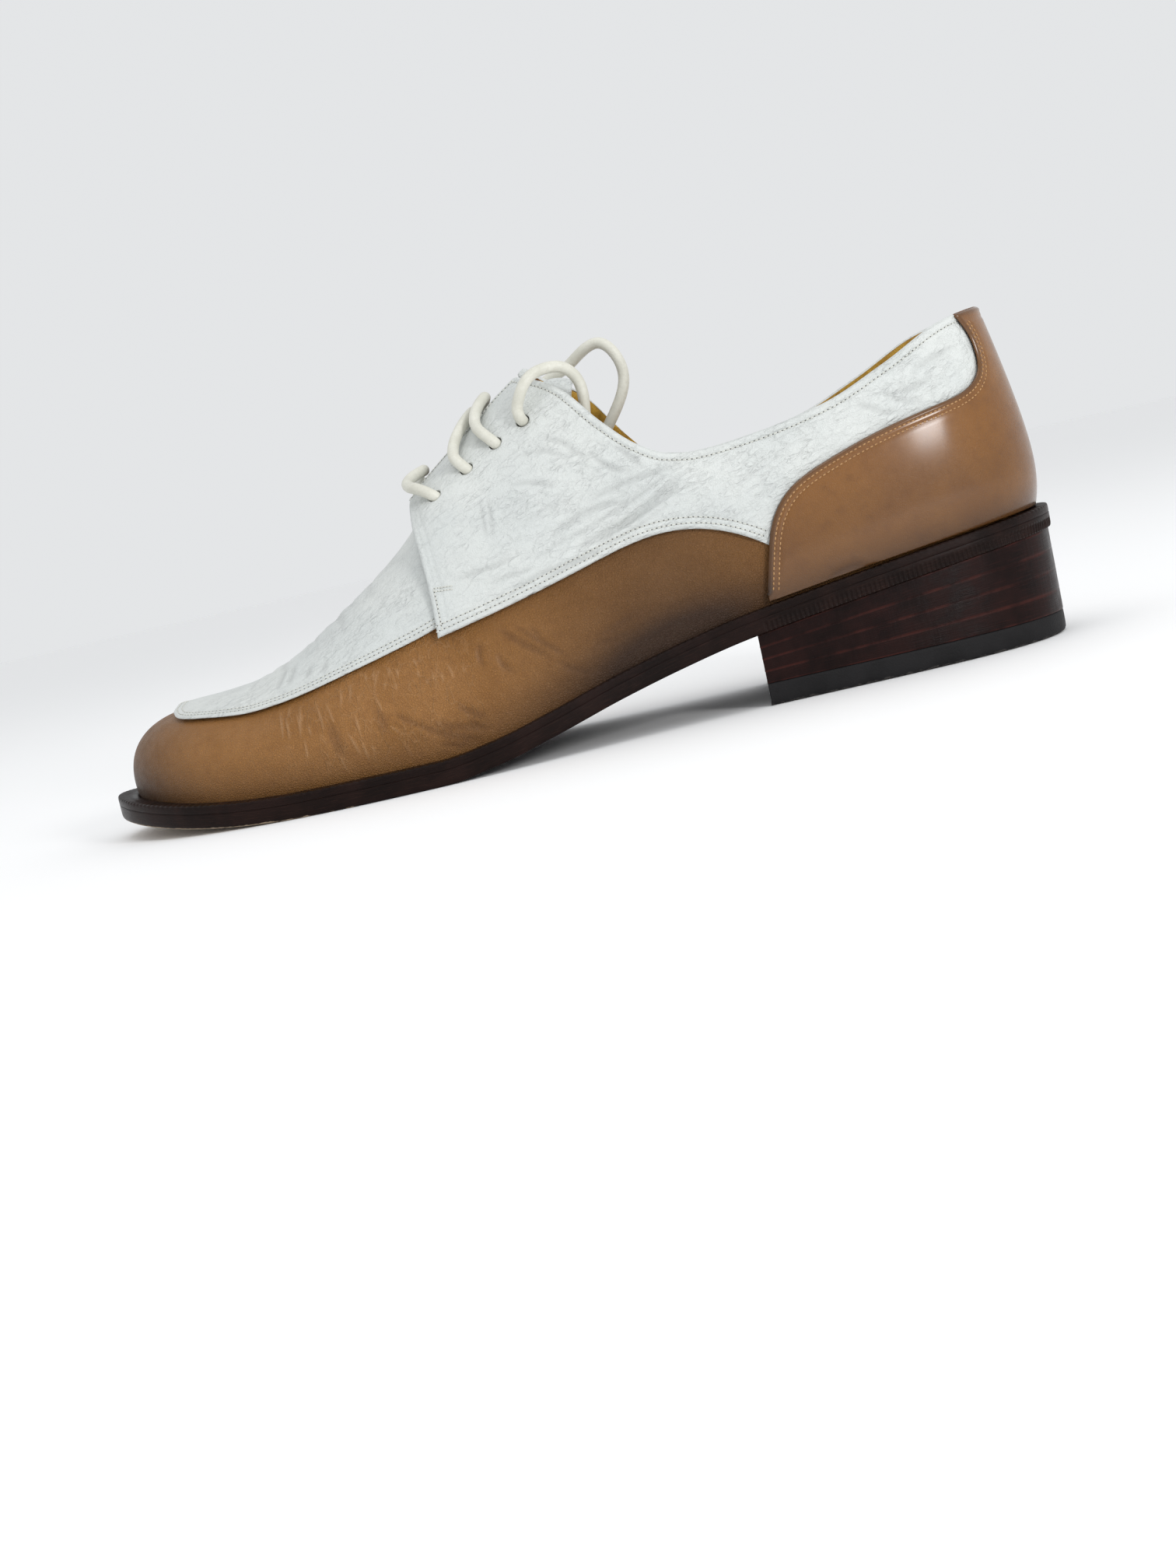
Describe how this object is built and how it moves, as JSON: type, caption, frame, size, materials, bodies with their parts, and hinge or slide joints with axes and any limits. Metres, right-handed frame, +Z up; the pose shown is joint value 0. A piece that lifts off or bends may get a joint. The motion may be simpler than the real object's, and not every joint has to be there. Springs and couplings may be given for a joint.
{
  "type": "oxford shoe",
  "caption": "Tan and white leather lace-up dress shoe for the left foot, with open lacing, an apron toe, a welted sole and a low stacked heel.",
  "frame": {"origin": "bottom centre of the shoe's box, on the floor, measured without the free lace ends", "axes": "+X towards the toe, +Y towards the outer side of the left foot, +Z up"},
  "size_m": [0.28, 0.0928, 0.1099],
  "materials": {
    "tan_leather": "polished calf, satin",
    "white_leather": "soft milled grain, satin",
    "ochre_lining": "matt, napped",
    "sole_leather": "dyed dark brown, waxed edge",
    "heel_stack": "dyed dark brown, waxed edge",
    "black_rubber": "matt",
    "cream_lace": "waxed round cord"
  },
  "bodies": {
    "root": {"upper": "tan_leather", "counter": "tan_leather", "apron": "white_leather", "quarter_outer": "white_leather", "quarter_inner": "white_leather", "tongue": "white_leather", "insole": "ochre_lining", "welt": "sole_leather", "outsole": "sole_leather", "heel_lift_1": "heel_stack", "heel_lift_2": "heel_stack", "heel_lift_3": "heel_stack", "heel_lift_4": "heel_stack", "top_lift": "black_rubber", "lace_bar_1": "cream_lace", "lace_bar_2": "cream_lace", "lace_bar_3": "cream_lace", "lace_end_outer": "cream_lace", "lace_end_inner": "cream_lace"}
  },
  "joints": []
}
